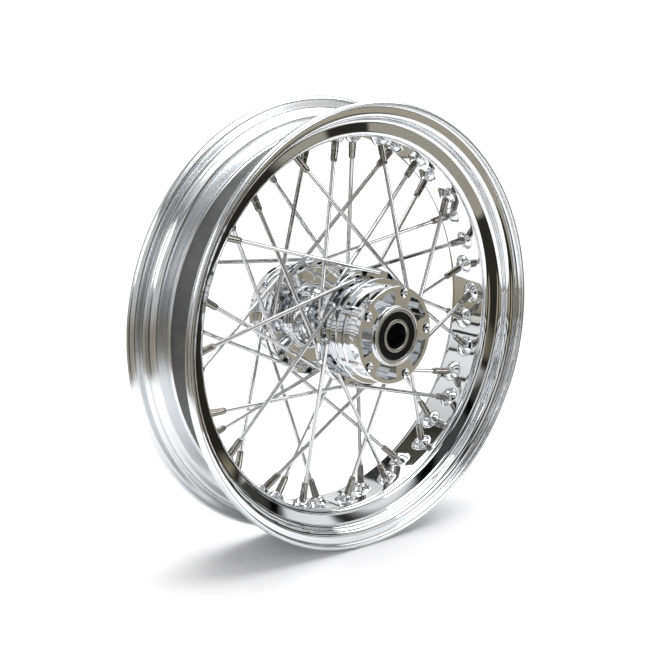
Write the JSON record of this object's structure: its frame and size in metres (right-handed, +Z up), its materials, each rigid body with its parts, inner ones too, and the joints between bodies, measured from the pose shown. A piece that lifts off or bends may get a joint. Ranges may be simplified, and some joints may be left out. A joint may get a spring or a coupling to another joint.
{
  "type": "spoked wheel",
  "caption": "Laced motorcycle wheel: chromed drop-centre rim, crossed wire spokes and a long disc-mount hub on sealed ball bearings.",
  "frame": {"origin": "the wheel's centre: on the axle's axis, half way between the two rim flanges", "axes": "+Y along the axle to the wheel's left-hand side, +X forward, +Z up; the wheel's right-hand side, the one the picture shows, faces -Y"},
  "size_m": [0.4336, 0.168, 0.4336],
  "materials": {
    "rim_chrome": "mirror chrome plate over polished steel",
    "hub_chrome": "mirror chrome plate",
    "spoke_chrome": "chrome plated wire",
    "nipple_chrome": "chrome plate",
    "strip_rubber": "smooth grey-black rubber with a satin sheen",
    "seal_rubber": "moulded black nitrile rubber",
    "bearing_steel": "ground bearing steel",
    "cage_steel": "pressed steel",
    "spacer_steel": "plain drawn steel tube"
  },
  "bodies": {
    "axle_set": {"bearing_spacer": "spacer_steel", "right_inner_ring": "bearing_steel", "left_inner_ring": "bearing_steel"},
    "wheel": {"rim": "rim_chrome", "rim_strip": "strip_rubber", "hub_body": "hub_chrome", "spokes_right_outer": "spoke_chrome", "spokes_right_inner": "spoke_chrome", "spokes_left_outer": "spoke_chrome", "spokes_left_inner": "spoke_chrome", "nipples_right_outer": "nipple_chrome", "nipples_right_inner": "nipple_chrome", "nipples_left_outer": "nipple_chrome", "nipples_left_inner": "nipple_chrome", "right_outer_ring": "bearing_steel", "right_outer_seal": "seal_rubber", "right_inner_seal": "seal_rubber", "left_outer_ring": "bearing_steel", "left_outer_seal": "seal_rubber", "left_inner_seal": "seal_rubber"},
    "right_ball_train": {"right_balls": "bearing_steel", "right_cage": "cage_steel"},
    "left_ball_train": {"left_balls": "bearing_steel", "left_cage": "cage_steel"}
  },
  "joints": [
    {"name": "wheel_spin", "type": "hinge", "parent": "axle_set", "child": "wheel", "pos_m": [0, 0, 0], "axis": [0, 1, 0], "continuous": true},
    {"name": "right_ball_orbit", "type": "hinge", "parent": "axle_set", "child": "right_ball_train", "pos_m": [0, -0.076, 0], "axis": [0, 1, 0], "continuous": true},
    {"name": "left_ball_orbit", "type": "hinge", "parent": "axle_set", "child": "left_ball_train", "pos_m": [0, 0.076, 0], "axis": [0, 1, 0], "continuous": true}
  ],
  "couplings": [
    {"joint": "right_ball_orbit", "follows": "wheel_spin", "ratio": 0.6017},
    {"joint": "left_ball_orbit", "follows": "wheel_spin", "ratio": 0.6017}
  ]
}
